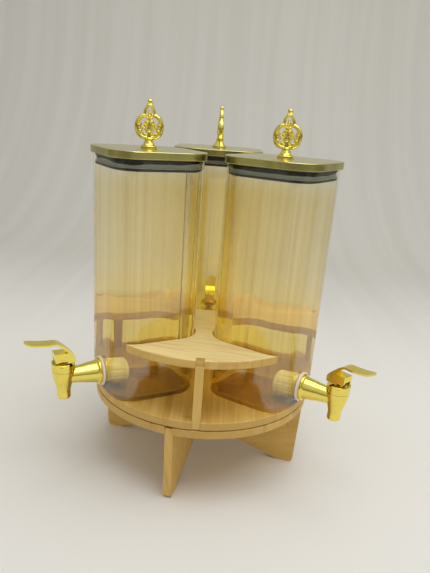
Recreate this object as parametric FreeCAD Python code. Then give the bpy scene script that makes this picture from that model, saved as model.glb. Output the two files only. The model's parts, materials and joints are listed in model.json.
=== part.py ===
"""Triple cocktail dispenser: three tapped glass jars on a bamboo turntable.

Units are millimetres, +Z is up and Z = 0 is the floor. The origin lies on the turntable's axis. Each jar,
with its tap and lid, is modelled once in its own frame, with its tap pointing along +X, and is then set
down at its azimuth on the turntable. Each tap is modelled about its own axis, with X = 0 on the outer
face of the glass and X growing outwards.
"""
import FreeCAD
import Part

import math
import os

from FreeCAD import Vector

X_AXIS = Vector(1, 0, 0)
Y_AXIS = Vector(0, 1, 0)
Z_AXIS = Vector(0, 0, 1)
ORIGIN = Vector(0, 0, 0)
FAR = 400.0                    # longer than any piece, for cuts that run right through

# ---- layout ----
JARS = {"left": 210.0, "right": 330.0, "back": 90.0}      # jar name: azimuth in degrees
SLATS = {"front": -90.0, "right": 30.0, "left": 150.0}    # slat name: azimuth in degrees
KNOBS = {"left": -82.0, "right": -96.0, "back": 3.0}      # azimuth that each knob's face points to
LEVER_TURNS = {"left": 0.0, "right": -18.0, "back": 0.0}  # each lever's turn in its bonnet
LEG_AZIMUTH = 77.3             # the first leg board, as the turntable stands at rest
JAR_GAP = 20.25                # between neighbouring jars, where they come closest

# ---- stand ----
BOARD = 8.0                    # thickness of every bamboo board
DISC_SETBACK = 0.4             # rim of both discs behind the jars' outermost faces
SHELF_SETBACK = 2.0            # shelf's rim behind the discs' rim
EDGE_ROUND = 0.8               # broken edge of the boards
LOWER_DISC_Z = 75.8            # underside of the lower disc
TURNTABLE_GAP = 1.2            # between the lower and the upper disc
SHELF_RISE = 54.5              # upper disc's top to the shelf's underside
JOINT_PLAY = 0.1               # glue gap of each notched wood joint

LEG_SETBACK = 1.7              # a leg's outer edge behind the discs' rim at its top
LEG_TAPER = 2.7                # how far that edge leans inwards down to the floor
FOOT_LENGTH = 15.6             # flat of the foot
FOOT_ROUND = 5.0
ARCH_SHOULDER_RADIUS = 24.0    # where the slanting lower edge meets the middle of the arch
ARCH_SHOULDER_Z = 23.5
ARCH_CROWN_Z = 26.5
LEG_HORN_DEPTH = 8.0           # radial depth of the horn that rises into the disc's notch
LEG_HORN_DROP = 1.6            # the horn's top below the lower disc's top

SLAT_WIDTH = 8.0
SLAT_DEPTH = 7.0
SLAT_SETBACK = 1.4             # a slat's outer face behind the discs' rim
TENON_SETBACK = 1.8            # the tenon's face behind the slat's face
TENON_SHOULDER = 3.0           # shoulder above the shelf's underside
TENON_DROP = 0.3               # tenon's end below the shelf's top

# ---- turntable bearing ----
RACE_INNER_RADIUS = 60.0
RACE_OUTER_RADIUS = 72.0
RACE_THICKNESS = 0.8
RACE_GROOVE_DEPTH = 3.35       # groove in each disc that takes a race
RACE_PLAY = 0.3                # race to the walls of its groove
BALL_RADIUS = 3.0
BALL_COUNT = 16
CAGE_THICKNESS = 2.0
CAGE_PLAY = 0.15               # ball to the wall of its cage hole
CAGE_WIDTH = 9.6
PIVOT_RADIUS = 4.0
PIVOT_PLAY = 0.05              # running fit of the pivot pin in its bushing
PIVOT_PIN_TOP_GAP = 2.0        # pin's end below the upper disc's top
BUSHING_WALL = 2.0
BUSHING_FLANGE_RADIUS = 9.0
BUSHING_FLANGE = 1.0

# ---- glass jar ----
JAR_HALF = 45.0                # half of the jar's width across its flats
JAR_CORNER = 24.3              # radius of its corners
JAR_HEIGHT = 229.5
JAR_WALL = 3.0
JAR_FLOOR = 4.0
JAR_FOOT_ROUND = 2.5
JAR_FLOOR_ROUND = 1.0
JAR_RIM_ROUND = 0.9
SHELF_JAR_GAP = 1.6            # jar to the edge of its cut-out in the shelf

# ---- lid ----
LID_OVERHANG = 2.5             # lid beyond the jar
LID_THICKNESS = 6.5
LID_ROUND = 0.7
SEAL_GAP = 0.3                 # seal lips to the inside of the glass
SEAL_WALL = 1.2
SEAL_LIP = 2.3                 # how far a lip stands out from the band
SEAL_LIP_HEIGHT = 2.2
PLUG_HEIGHT = 10.5
PLUG_CAP_HEIGHT = 0.8          # cap under the band that holds it up
PLUG_RECESS_RADIUS = 8.0       # pocket for the knob screw's head
PLUG_RECESS_DEPTH = 5.0

# ---- knob ----
KNOB_HEIGHT = 42.5
KNOB_WIDTH = 25.5
KNOB_THICKNESS = 7.7
KNOB_BASE_RADIUS = 7.3
KNOB_BASE_HEIGHT = 2.4
KNOB_NECK_RADIUS = 3.1
KNOB_NECK_Z = 8.6              # height of the neck's end above the lid
KNOB_RING_Z = 18.9             # height of the scroll ring's centre
KNOB_RING_HEIGHT = 22.0
KNOB_RING_BAND = 3.6
KNOB_RING_DEPTH = 6.2
MEDALLION_HALF_WIDTH = 5.0
MEDALLION_HALF_HEIGHT = 6.2
KNOB_LOOP_Z = 33.2
KNOB_LOOP_HALF_WIDTH = 4.9
KNOB_LOOP_HALF_HEIGHT = 5.4
KNOB_LOOP_BAND = 2.1
KNOB_LOOP_DEPTH = 4.4
KNOB_BEAD_RADIUS = 2.6
KNOB_BEAD_Z = 27.4
KNOB_TIP_RADIUS = 2.6
KNOB_SCREW_RADIUS = 2.0
KNOB_SCREW_PLAY = 0.2
KNOB_SCREW_ENGAGE = 6.0        # length of screw inside the knob
KNOB_SCREW_HEAD_RADIUS = 3.8
KNOB_SCREW_HEAD = 2.6

# ---- tap: heights are above the tap's axis ----
NUT_FLOOR_GAP = 2.0            # nut above the floor of the jar
TAIL_RADIUS = 8.0              # threaded tail that passes through the glass
TAIL_HOLE_PLAY = 0.5
TAP_BORE = 4.5
OUTER_WASHER_RADIUS = 15.0
OUTER_WASHER = 2.0
INNER_WASHER_RADIUS = 11.6
INNER_WASHER = 1.5
WASHER_BORE_PLAY = 0.4
NUT_RADIUS = 12.0
NUT_LENGTH = 22.0
NUT_BORE_PLAY = 0.1
NUT_END = 3.0                  # end wall of the nut, with the inlet in it
NUT_INLET_RADIUS = 3.6
NUT_FLUTES = 10
NUT_FLUTE_RADIUS = 1.6
FLANGE_RADIUS = 13.6
FLANGE = 3.0
BODY_X = 38.6                  # outer face of the glass to the tap body's upright axis
STEM_ROOT_RADIUS = 11.5        # stem just in front of the flange
STEM_FLARE = 0.9               # flare that joins the stem to the flange
STEM_STEP_AHEAD = 12.5         # step in the stem, in front of the flange
STEM_STEP_RADIUS = 9.9
STEM_STEP = 0.35
STEM_END_RADIUS = 7.8
STEM_END_GAP = 3.6             # stem's hidden end to the body's upright axis
BODY_TOP_RADIUS = 11.2
BODY_TOP_Z = 6.9
SPOUT_PROFILE = ((-23.0, 6.1), (-22.0, 6.6), (-19.5, 6.7), (-16.5, 6.6), (-12.0, 7.2), (-5.0, 9.1),
                 (0.0, 10.3), (4.5, 11.0))    # height and radius of the upright body
SPOUT_BORE = 5.0
SEAT_Z = -7.0                  # valve seat, the floor of the chamber
CHAMBER_RADIUS = 6.8
NECK_INSET = 1.2               # neck that the bonnet screws onto, inside the body's top
NECK_HEIGHT = 4.1
BONNET_STEP = 0.2              # bonnet beyond the body's top
BONNET_GAP = 0.4               # groove between the body and the bonnet
BONNET_HEIGHT = 8.2
BONNET_BORE_PLAY = 0.15
BONNET_CUP_DEPTH = 2.3         # shallow cup on top of the bonnet
BONNET_RIM = 1.4               # thickness of the cup's rim
BONNET_RIM_BACK = 4.0          # the rim is cut away from this far behind the body's axis
BONNET_ROUND = 0.5
BONNET_MARKS = (71.0, -71.0)   # azimuths of two shallow slots under the rim, from the tap's direction
BONNET_MARK_WIDTH = 3.6
BONNET_MARK_HEIGHT = 1.2
BONNET_MARK_DEPTH = 0.6
BONNET_MARK_DROP = 1.1         # slot below the rim

# ---- valve ----
STEM_RADIUS = 2.5
STEM_PLAY = 0.08               # running fit of the stem in the bonnet
SEAT_DISC_PLAY = 0.9           # seat to the wall of the chamber
SEAT_DISC = 2.0
VALVE_HEAD_PLAY = 0.6          # valve head to the wall of the chamber
VALVE_HEAD = 1.8
TONGUE_GAP = 0.3               # stem's flat tongue above the bonnet's floor when closed
TONGUE_RISE = 3.4              # tongue's top above the lever's pin
TONGUE_HALF_WIDTH = 3.7
TONGUE_BACK = 3.0              # tongue behind the body's axis
TONGUE_FRONT = 5.0             # tongue in front of the body's axis
SPRING_RADIUS = 4.4
SPRING_WIRE = 0.6
SPRING_TURNS = 5

# ---- lever: modelled about its pin, with X along the tap and Z up ----
PIN_AHEAD = 1.5                # pin in front of the body's axis
PIN_RISE = 4.1                 # pin above the bonnet's rim
PIN_RADIUS = 1.5
PIN_PLAY = 0.06                # running fit of the lever on its pin
LEVER_HALF_WIDTH = 6.2         # over the cheeks
LEVER_SLOT_PLAY = 0.3          # tongue to each cheek
LEVER_LIFT_GAP = 0.3           # cheeks above the bonnet's rim
LEVER_BACK = 12.7              # block behind the pin
LEVER_FRONT = 7.7              # block in front of the pin
LEVER_TOP = 6.6                # block's top face above the pin
LEVER_ROOF = 1.4               # block's wall over the slot
LEVER_WALL = 2.0               # block's wall behind the slot
LEVER_WEB = 3.1                # block's wall in front of the slot
LEVER_WEB_RISE = 0.9           # lower edge of that wall above the pin
CHEEK_ROUND = 4.5              # lower front corner of a cheek
CHEEK_CHAMFER = 1.0            # lower back corner of a cheek
STRAP_TOP = ((-12.9, 0.9), (-11.5, 3.9), (-8.8, 6.9), (-3.1, 12.2), (1.9, 16.0), (5.4, 17.3), (9.9, 17.5),
             (19.4, 18.0), (29.5, 19.5), (34.7, 20.9))  # upper line of the strap and paddle
STRAP_THICKNESS = 2.6          # at the block
PADDLE_THICKNESS = 1.4         # at the tip
PADDLE_HALF_WIDTH = 6.7
PADDLE_START = 8.0             # where the strap starts to widen, in front of the pin
PADDLE_WIDENING = 7.0          # length over which it widens

# ---- derived places ----
HALF_BETWEEN = math.radians(60)        # from a jar's azimuth to the plane between it and the next
JAR_REACH = (JAR_HALF - JAR_CORNER) * (math.sin(HALF_BETWEEN) + math.cos(HALF_BETWEEN)) + JAR_CORNER
JAR_OFFSET = (JAR_REACH + JAR_GAP / 2) / math.sin(HALF_BETWEEN)    # turntable axis to jar axis
DISC_RADIUS = JAR_OFFSET + JAR_HALF - DISC_SETBACK
SHELF_RADIUS = DISC_RADIUS - SHELF_SETBACK
LEG_RADIUS = DISC_RADIUS - LEG_SETBACK
LEG_FOOT_RADIUS = LEG_RADIUS - LEG_TAPER
SLAT_RADIUS = DISC_RADIUS - SLAT_SETBACK
BALL_CIRCLE = (RACE_INNER_RADIUS + RACE_OUTER_RADIUS) / 2
LOWER_TOP_Z = LOWER_DISC_Z + BOARD
UPPER_DISC_Z = LOWER_TOP_Z + TURNTABLE_GAP
UPPER_TOP_Z = UPPER_DISC_Z + BOARD
SHELF_Z = UPPER_TOP_Z + SHELF_RISE
SHELF_TOP_Z = SHELF_Z + BOARD
JAR_INNER_HALF = JAR_HALF - JAR_WALL
JAR_INNER_CORNER = JAR_CORNER - JAR_WALL
LID_HALF = JAR_HALF + LID_OVERHANG
LID_CORNER = JAR_CORNER + LID_OVERHANG
LID_TOP_Z = JAR_HEIGHT + LID_THICKNESS
LIP_INSET = JAR_WALL + SEAL_GAP
BAND_INSET = LIP_INSET + SEAL_LIP
PLUG_INSET = BAND_INSET + SEAL_WALL
NUT_FACE_X = -(JAR_WALL + INNER_WASHER)
TAIL_END_X = NUT_FACE_X - NUT_LENGTH + NUT_END
TAP_Z = JAR_FLOOR + NUT_FLOOR_GAP + NUT_RADIUS     # tap axis above the jar's underside
FLANGE_FACE_X = OUTER_WASHER + FLANGE
STEM_END_X = BODY_X - STEM_END_GAP
NECK_RADIUS = BODY_TOP_RADIUS - NECK_INSET
NECK_TOP_Z = BODY_TOP_Z + NECK_HEIGHT
BONNET_Z = BODY_TOP_Z + BONNET_GAP
BONNET_RADIUS = BODY_TOP_RADIUS + BONNET_STEP
BONNET_RIM_Z = BONNET_Z + BONNET_HEIGHT
BONNET_FLOOR_Z = BONNET_RIM_Z - BONNET_CUP_DEPTH
VALVE_HEAD_Z = SEAT_Z + SEAT_DISC
PIN_X = BODY_X + PIN_AHEAD
PIN_Z = BONNET_RIM_Z + PIN_RISE
LEVER_BOTTOM = LEVER_LIFT_GAP - PIN_RISE           # cheeks' lower edge, from the pin


# ---- shape helpers ----
def polar(radius, degrees, z=0.0):
    """Point at a radius and azimuth about the Z axis."""
    angle = math.radians(degrees)
    return Vector(radius * math.cos(angle), radius * math.sin(angle), z)


def cylinder(radius, height, base=ORIGIN, axis=Z_AXIS):
    return Part.makeCylinder(radius, height, base, axis)


def ring(outer, inner, height, base=ORIGIN, axis=Z_AXIS):
    """Washer or tube, drilled right through."""
    return cylinder(outer, height, base, axis).cut(cylinder(inner, height, base, axis))


def box(low, high):
    """Box between two opposite corners, given as (x, y, z)."""
    size = [b - a for a, b in zip(low, high)]
    return Part.makeBox(*size, Vector(*low))


def rounded_square(half, corner, low_z, high_z):
    """Upright prism with a rounded-square section about the Z axis."""
    flat = half - corner
    diagonal = flat + corner * math.sqrt(0.5)
    edges = []
    for quarter in range(4):
        turn = FreeCAD.Rotation(Z_AXIS, 90 * quarter)
        start, middle, end, following = (
            turn.multVec(Vector(x, y, low_z))
            for x, y in ((half, flat), (diagonal, diagonal), (flat, half), (-flat, half)))
        edges.append(Part.Arc(start, middle, end).toShape())
        edges.append(Part.LineSegment(end, following).toShape())
    return Part.Face(Part.Wire(edges)).extrude(Vector(0, 0, high_z - low_z))


def edges_at(shape, z):
    """Edges that lie wholly at one height."""
    return [edge for edge in shape.Edges
            if all(abs(vertex.Point.z - z) < 1e-6 for vertex in edge.Vertexes)
            and abs(edge.CenterOfMass.z - z) < 1e-6]


def round_at(shape, radius, *heights):
    """Round every edge that lies at one of the heights."""
    return shape.makeFillet(radius, [edge for z in heights for edge in edges_at(shape, z)])


def revolve(wire, base=ORIGIN, axis=Z_AXIS):
    return Part.Face(wire).revolve(base, axis, 360)


def polyline(points):
    """Closed wire through points."""
    return Part.makePolygon(list(points) + [points[0]])


def spline(points):
    """Smooth edge through points."""
    curve = Part.BSplineCurve()
    curve.interpolate(points)
    return curve.toShape()


def line(start, end):
    return Part.LineSegment(start, end).toShape()


def turned(shape, centre, degrees):
    """Copy of a piece, turned about an upright axis."""
    copy = shape.copy()
    copy.rotate(centre, Z_AXIS, degrees)
    return copy


def place_jar(shape, jar):
    """A piece in the jar's frame, set down on the turntable at that jar's place."""
    placed = shape.copy()
    placed.translate(Vector(JAR_OFFSET, 0, UPPER_TOP_Z))
    placed.rotate(ORIGIN, Z_AXIS, JARS[jar])
    return placed


def place_tap(shape):
    """A piece of the tap, moved from the tap's frame to the jar's frame."""
    moved = shape.copy()
    moved.translate(Vector(JAR_HALF, 0, TAP_Z))
    return moved


# ---- stand ----
def board_disc(radius, low_z):
    """Round bamboo board with broken edges."""
    return round_at(cylinder(radius, BOARD, Vector(0, 0, low_z)), EDGE_ROUND, low_z, low_z + BOARD)


def rim_notch(azimuth, inner_radius, width, low_z, high_z):
    """Cutter for a square notch in the rim of a board."""
    half = width / 2 + JOINT_PLAY
    cutter = box((inner_radius - JOINT_PLAY, -half, low_z), (FAR, half, high_z))
    cutter.rotate(ORIGIN, Z_AXIS, azimuth)
    return cutter


def race_groove(low_z):
    """Cutter for the ring groove that takes a bearing race."""
    return ring(RACE_OUTER_RADIUS + RACE_PLAY, RACE_INNER_RADIUS - RACE_PLAY, RACE_GROOVE_DEPTH,
                Vector(0, 0, low_z))


def lower_disc():
    disc = board_disc(DISC_RADIUS, LOWER_DISC_Z)
    disc = disc.cut(race_groove(LOWER_TOP_Z - RACE_GROOVE_DEPTH))
    disc = disc.cut(cylinder(PIVOT_RADIUS, BOARD, Vector(0, 0, LOWER_DISC_Z)))
    for quarter in range(4):
        disc = disc.cut(rim_notch(LEG_AZIMUTH + 90 * quarter, LEG_RADIUS - LEG_HORN_DEPTH, BOARD,
                                  LOWER_DISC_Z, LOWER_TOP_Z))
    return disc


def leg_board(azimuth, slot_is_on_top):
    """Arched board across the stand, with a foot and a horn at each end and a half-lap slot."""
    right_half = [
        (ARCH_SHOULDER_RADIUS, ARCH_SHOULDER_Z),
        (LEG_FOOT_RADIUS - FOOT_LENGTH, 0.0),
        (LEG_FOOT_RADIUS, 0.0),
        (LEG_RADIUS, LOWER_DISC_Z),
        (LEG_RADIUS, LOWER_TOP_Z - LEG_HORN_DROP),
        (LEG_RADIUS - LEG_HORN_DEPTH, LOWER_TOP_Z - LEG_HORN_DROP),
        (LEG_RADIUS - LEG_HORN_DEPTH, LOWER_DISC_Z),
    ]
    half = BOARD / 2
    right = [Vector(x, -half, z) for x, z in right_half]
    left = [Vector(-x, -half, z) for x, z in reversed(right_half)]
    crown = Part.Arc(left[-1], Vector(0, -half, ARCH_CROWN_Z), right[0]).toShape()
    outline = Part.Wire([crown] + Part.makePolygon(right + left).Edges)
    board = Part.Face(outline).extrude(Vector(0, BOARD, 0))
    foot_edges = [edge for edge in board.Edges
                  if abs(edge.Length - BOARD) < 1e-6 and abs(edge.CenterOfMass.z) < 1e-6]
    board = board.makeFillet(FOOT_ROUND, foot_edges)
    lap_z = (ARCH_CROWN_Z + LOWER_DISC_Z) / 2
    slot_half = half + JOINT_PLAY
    low, high = (lap_z, FAR) if slot_is_on_top else (-FAR, lap_z)
    board = board.cut(box((-slot_half, -FAR, low), (slot_half, FAR, high)))
    board.rotate(ORIGIN, Z_AXIS, azimuth)
    return board


def upper_disc():
    disc = board_disc(DISC_RADIUS, UPPER_DISC_Z)
    disc = disc.cut(race_groove(UPPER_DISC_Z))
    flange = cylinder(BUSHING_FLANGE_RADIUS, BUSHING_FLANGE, Vector(0, 0, UPPER_DISC_Z))
    sleeve = cylinder(PIVOT_RADIUS + BUSHING_WALL, BOARD - PIVOT_PIN_TOP_GAP, Vector(0, 0, UPPER_DISC_Z))
    disc = disc.cut(flange).cut(sleeve)
    for azimuth in SLATS.values():
        disc = disc.cut(rim_notch(azimuth, SLAT_RADIUS - SLAT_DEPTH, SLAT_WIDTH,
                                  UPPER_DISC_Z, UPPER_TOP_Z))
    return disc


def shelf():
    """Three-lobed board whose cut-outs steady the jars."""
    disc = board_disc(SHELF_RADIUS, SHELF_Z)
    cut_out = rounded_square(JAR_HALF + SHELF_JAR_GAP, JAR_CORNER + SHELF_JAR_GAP,
                             SHELF_RISE, SHELF_RISE + BOARD)
    for jar in JARS:
        disc = disc.cut(place_jar(cut_out, jar))
    for azimuth in SLATS.values():
        disc = disc.cut(rim_notch(azimuth, SLAT_RADIUS - SLAT_DEPTH, SLAT_WIDTH, SHELF_Z, SHELF_TOP_Z))
    return disc


def slat(azimuth):
    """Square post from the upper disc to the shelf, with a set-back tenon at its top."""
    half = SLAT_WIDTH / 2
    inner = SLAT_RADIUS - SLAT_DEPTH
    shoulder_z = SHELF_Z + TENON_SHOULDER
    post = box((inner, -half, UPPER_DISC_Z), (SLAT_RADIUS, half, shoulder_z))
    tenon = box((inner, -half, shoulder_z), (SLAT_RADIUS - TENON_SETBACK, half, SHELF_TOP_Z - TENON_DROP))
    piece = post.fuse(tenon).removeSplitter()
    piece.rotate(ORIGIN, Z_AXIS, azimuth)
    return piece


# ---- turntable bearing ----
def race(low_z):
    return ring(RACE_OUTER_RADIUS, RACE_INNER_RADIUS, RACE_THICKNESS, Vector(0, 0, low_z))


def ball_places():
    z = LOWER_TOP_Z - RACE_GROOVE_DEPTH + RACE_THICKNESS + BALL_RADIUS
    return [polar(BALL_CIRCLE, 360 * index / BALL_COUNT, z) for index in range(BALL_COUNT)]


def balls():
    return Part.makeCompound([Part.makeSphere(BALL_RADIUS, place) for place in ball_places()])


def ball_cage():
    places = ball_places()
    base = Vector(0, 0, places[0].z - CAGE_THICKNESS / 2)
    cage = ring(BALL_CIRCLE + CAGE_WIDTH / 2, BALL_CIRCLE - CAGE_WIDTH / 2, CAGE_THICKNESS, base)
    for place in places:
        hole_base = Vector(place.x, place.y, base.z)
        cage = cage.cut(cylinder(BALL_RADIUS + CAGE_PLAY, CAGE_THICKNESS, hole_base))
    return cage


def pivot_pin():
    length = UPPER_TOP_Z - 2 * PIVOT_PIN_TOP_GAP - LOWER_DISC_Z
    return cylinder(PIVOT_RADIUS, length, Vector(0, 0, LOWER_DISC_Z))


def pivot_bushing():
    base = Vector(0, 0, UPPER_DISC_Z)
    sleeve = cylinder(PIVOT_RADIUS + BUSHING_WALL, BOARD - PIVOT_PIN_TOP_GAP, base)
    flange = cylinder(BUSHING_FLANGE_RADIUS, BUSHING_FLANGE, base)
    bore = cylinder(PIVOT_RADIUS + PIVOT_PLAY, BOARD - PIVOT_PIN_TOP_GAP, base)
    return sleeve.fuse(flange).cut(bore).removeSplitter()


# ---- jar ----
def glass_jar():
    outside = round_at(rounded_square(JAR_HALF, JAR_CORNER, 0, JAR_HEIGHT), JAR_FOOT_ROUND, 0)
    inside = round_at(rounded_square(JAR_INNER_HALF, JAR_INNER_CORNER, JAR_FLOOR, JAR_HEIGHT + FAR),
                      JAR_FLOOR_ROUND, JAR_FLOOR)
    jar = round_at(outside.cut(inside), JAR_RIM_ROUND, JAR_HEIGHT)
    hole = cylinder(TAIL_RADIUS + TAIL_HOLE_PLAY, JAR_HALF, Vector(JAR_INNER_HALF / 2, 0, TAP_Z), X_AXIS)
    return jar.cut(hole)


# ---- lid ----
def lid_ring(outer_inset, inner_inset, low_z, high_z):
    """Rounded-square band under the lid; each inset is measured from the outside of the jar."""
    outer = rounded_square(JAR_HALF - outer_inset, JAR_CORNER - outer_inset, low_z, high_z)
    return outer.cut(rounded_square(JAR_HALF - inner_inset, JAR_CORNER - inner_inset, low_z, high_z))


def screw_bore(low_z, high_z):
    return cylinder(KNOB_SCREW_RADIUS + KNOB_SCREW_PLAY, high_z - low_z, Vector(0, 0, low_z))


def lid_plate():
    plate = round_at(rounded_square(LID_HALF, LID_CORNER, JAR_HEIGHT, LID_TOP_Z), LID_ROUND,
                     JAR_HEIGHT, LID_TOP_Z)
    return plate.cut(screw_bore(JAR_HEIGHT, LID_TOP_Z))


def lid_plug():
    low_z = JAR_HEIGHT - PLUG_HEIGHT
    core = rounded_square(JAR_HALF - PLUG_INSET, JAR_CORNER - PLUG_INSET, low_z, JAR_HEIGHT)
    cap = rounded_square(JAR_HALF - BAND_INSET, JAR_CORNER - BAND_INSET, low_z, low_z + PLUG_CAP_HEIGHT)
    recess = cylinder(PLUG_RECESS_RADIUS, PLUG_RECESS_DEPTH, Vector(0, 0, low_z))
    return core.fuse(cap).removeSplitter().cut(recess).cut(screw_bore(low_z, JAR_HEIGHT))


def lid_seal():
    """Silicone band with a lip under the lid and another at its lower edge."""
    low_z = JAR_HEIGHT - PLUG_HEIGHT + PLUG_CAP_HEIGHT
    band = lid_ring(BAND_INSET, PLUG_INSET, low_z, JAR_HEIGHT)
    upper_lip = lid_ring(LIP_INSET, PLUG_INSET, JAR_HEIGHT - SEAL_LIP_HEIGHT, JAR_HEIGHT)
    lower_lip = lid_ring(LIP_INSET, PLUG_INSET, low_z, low_z + SEAL_LIP_HEIGHT)
    return band.fuse([upper_lip, lower_lip]).removeSplitter()


def elliptic_plate(half_width, half_height, depth, z):
    """Oval plate standing in the YZ plane."""
    major, minor = sorted((half_width, half_height), reverse=True)
    ellipse = Part.Ellipse(ORIGIN, major, minor).toShape()
    plate = Part.Face(Part.Wire(ellipse)).extrude(Vector(0, 0, depth))
    plate.translate(Vector(0, 0, -depth / 2))
    plate.rotate(ORIGIN, Y_AXIS, 90)
    if half_width > half_height:
        plate.rotate(ORIGIN, X_AXIS, 90)
    plate.translate(Vector(0, 0, z))
    return plate


def elliptic_hoop(half_width, half_height, band, depth, z):
    outer = elliptic_plate(half_width, half_height, depth, z)
    return outer.cut(elliptic_plate(half_width - band, half_height - band, depth, z))


def lid_knob():
    """Openwork finial: turned foot, scroll ring round a medallion, and a looped tip with a ball."""
    foot_profile = [(0, 0), (KNOB_BASE_RADIUS, 0), (KNOB_BASE_RADIUS, KNOB_BASE_HEIGHT),
                    (KNOB_BASE_RADIUS * 0.72, KNOB_BASE_HEIGHT + 1.2),
                    (KNOB_NECK_RADIUS, KNOB_NECK_Z), (0, KNOB_NECK_Z)]
    foot = revolve(polyline([Vector(r, 0, z) for r, z in foot_profile]))
    tip_z = KNOB_HEIGHT - KNOB_TIP_RADIUS
    pieces = [
        elliptic_hoop(KNOB_WIDTH / 2, KNOB_RING_HEIGHT / 2, KNOB_RING_BAND, KNOB_RING_DEPTH,
                      KNOB_RING_Z),
        elliptic_plate(MEDALLION_HALF_WIDTH, MEDALLION_HALF_HEIGHT, KNOB_THICKNESS, KNOB_RING_Z),
        cylinder(KNOB_NECK_RADIUS, KNOB_RING_Z - KNOB_NECK_Z, Vector(0, 0, KNOB_NECK_Z)),
        Part.makeSphere(KNOB_BEAD_RADIUS, Vector(0, 0, KNOB_BEAD_Z)),
        elliptic_hoop(KNOB_LOOP_HALF_WIDTH, KNOB_LOOP_HALF_HEIGHT, KNOB_LOOP_BAND, KNOB_LOOP_DEPTH,
                      KNOB_LOOP_Z),
        Part.makeSphere(KNOB_TIP_RADIUS, Vector(0, 0, tip_z)),
    ]
    knob = foot.fuse(pieces).removeSplitter()
    knob = knob.cut(cylinder(KNOB_SCREW_RADIUS, KNOB_SCREW_ENGAGE))
    knob.translate(Vector(0, 0, LID_TOP_Z))
    return knob


def knob_screw():
    head_top = JAR_HEIGHT - PLUG_HEIGHT + PLUG_RECESS_DEPTH
    head = cylinder(KNOB_SCREW_HEAD_RADIUS, KNOB_SCREW_HEAD, Vector(0, 0, head_top - KNOB_SCREW_HEAD))
    shank = cylinder(KNOB_SCREW_RADIUS, LID_TOP_Z + KNOB_SCREW_ENGAGE - head_top, Vector(0, 0, head_top))
    return head.fuse(shank).removeSplitter()


# ---- tap ----
def tap_stem():
    """Two tapering lengths that join the flange to the upright body, with a step between them."""
    step_x = FLANGE_FACE_X + STEM_STEP_AHEAD
    profile = [(FLANGE_FACE_X, 0), (FLANGE_FACE_X, STEM_ROOT_RADIUS + STEM_FLARE),
               (FLANGE_FACE_X + STEM_FLARE, STEM_ROOT_RADIUS), (step_x, STEM_STEP_RADIUS),
               (step_x, STEM_STEP_RADIUS - STEM_STEP), (STEM_END_X, STEM_END_RADIUS), (STEM_END_X, 0)]
    stem = revolve(polyline([Vector(x, 0, r) for x, r in profile]), ORIGIN, X_AXIS)
    return stem.cut(cylinder(BONNET_RADIUS + BONNET_GAP, FAR, Vector(BODY_X, 0, BODY_TOP_Z)))


def tap_upright():
    """Waisted spout and the neck for the bonnet, turned about the body's upright axis."""
    spout = [Vector(r, 0, z) for z, r in SPOUT_PROFILE]
    ends = [spout[-1], Vector(BODY_TOP_RADIUS, 0, BODY_TOP_Z), Vector(NECK_RADIUS, 0, BODY_TOP_Z),
            Vector(NECK_RADIUS, 0, NECK_TOP_Z), Vector(0, 0, NECK_TOP_Z), Vector(0, 0, spout[0].z), spout[0]]
    upright = revolve(Part.Wire([spline(spout)] + Part.makePolygon(ends).Edges))
    upright.translate(Vector(BODY_X, 0, 0))
    return upright


def tap_body():
    """One casting: threaded tail, flange, stem and upright body, with its waterways."""
    tail = cylinder(TAIL_RADIUS, OUTER_WASHER - TAIL_END_X, Vector(TAIL_END_X, 0, 0), X_AXIS)
    flange = cylinder(FLANGE_RADIUS, FLANGE, Vector(OUTER_WASHER, 0, 0), X_AXIS)
    flange = flange.makeFillet(FLANGE / 3, [edge for edge in flange.Edges if len(edge.Vertexes) == 1])
    body = tail.fuse([flange, tap_stem(), tap_upright()]).removeSplitter()
    spout_z = SPOUT_PROFILE[0][0]
    chamber = cylinder(CHAMBER_RADIUS, NECK_TOP_Z - SEAT_Z, Vector(BODY_X, 0, SEAT_Z))
    outlet = cylinder(SPOUT_BORE, SEAT_Z - spout_z, Vector(BODY_X, 0, spout_z))
    inlet = cylinder(TAP_BORE, BODY_X - TAIL_END_X, Vector(TAIL_END_X, 0, 0), X_AXIS)
    return body.cut(chamber).cut(outlet).cut(inlet)


def bonnet_mark(azimuth):
    """Cutter for a shallow slot under the bonnet's rim."""
    high_z = BONNET_RIM_Z - BONNET_MARK_DROP
    half = BONNET_MARK_WIDTH / 2
    cutter = box((BONNET_RADIUS - BONNET_MARK_DEPTH, -half, high_z - BONNET_MARK_HEIGHT), (FAR, half, high_z))
    cutter.rotate(ORIGIN, Z_AXIS, azimuth)
    return cutter


def tap_bonnet():
    """Cap screwed onto the body, with a shallow cup and a part rim on top."""
    cap = cylinder(BONNET_RADIUS, BONNET_HEIGHT, Vector(0, 0, BONNET_Z))
    cap = round_at(cap, BONNET_ROUND, BONNET_RIM_Z)
    cup = cylinder(BONNET_RADIUS - BONNET_RIM, FAR, Vector(0, 0, BONNET_FLOOR_Z))
    rear = box((-FAR, -FAR, BONNET_FLOOR_Z), (-BONNET_RIM_BACK, FAR, FAR))
    neck_room = cylinder(NECK_RADIUS + BONNET_BORE_PLAY, NECK_TOP_Z - BONNET_Z, Vector(0, 0, BONNET_Z))
    stem_hole = cylinder(STEM_RADIUS + STEM_PLAY, FAR)
    cap = cap.cut(cup).cut(rear).cut(neck_room).cut(stem_hole)
    for azimuth in BONNET_MARKS:
        cap = cap.cut(bonnet_mark(azimuth))
    cap.translate(Vector(BODY_X, 0, 0))
    return cap


def tap_washers():
    """Silicone washers on both sides of the glass."""
    bore = TAIL_RADIUS + WASHER_BORE_PLAY
    outer = ring(OUTER_WASHER_RADIUS, bore, OUTER_WASHER, ORIGIN, X_AXIS)
    inner = ring(INNER_WASHER_RADIUS, bore, INNER_WASHER, Vector(NUT_FACE_X, 0, 0), X_AXIS)
    return Part.makeCompound([outer, inner])


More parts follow.
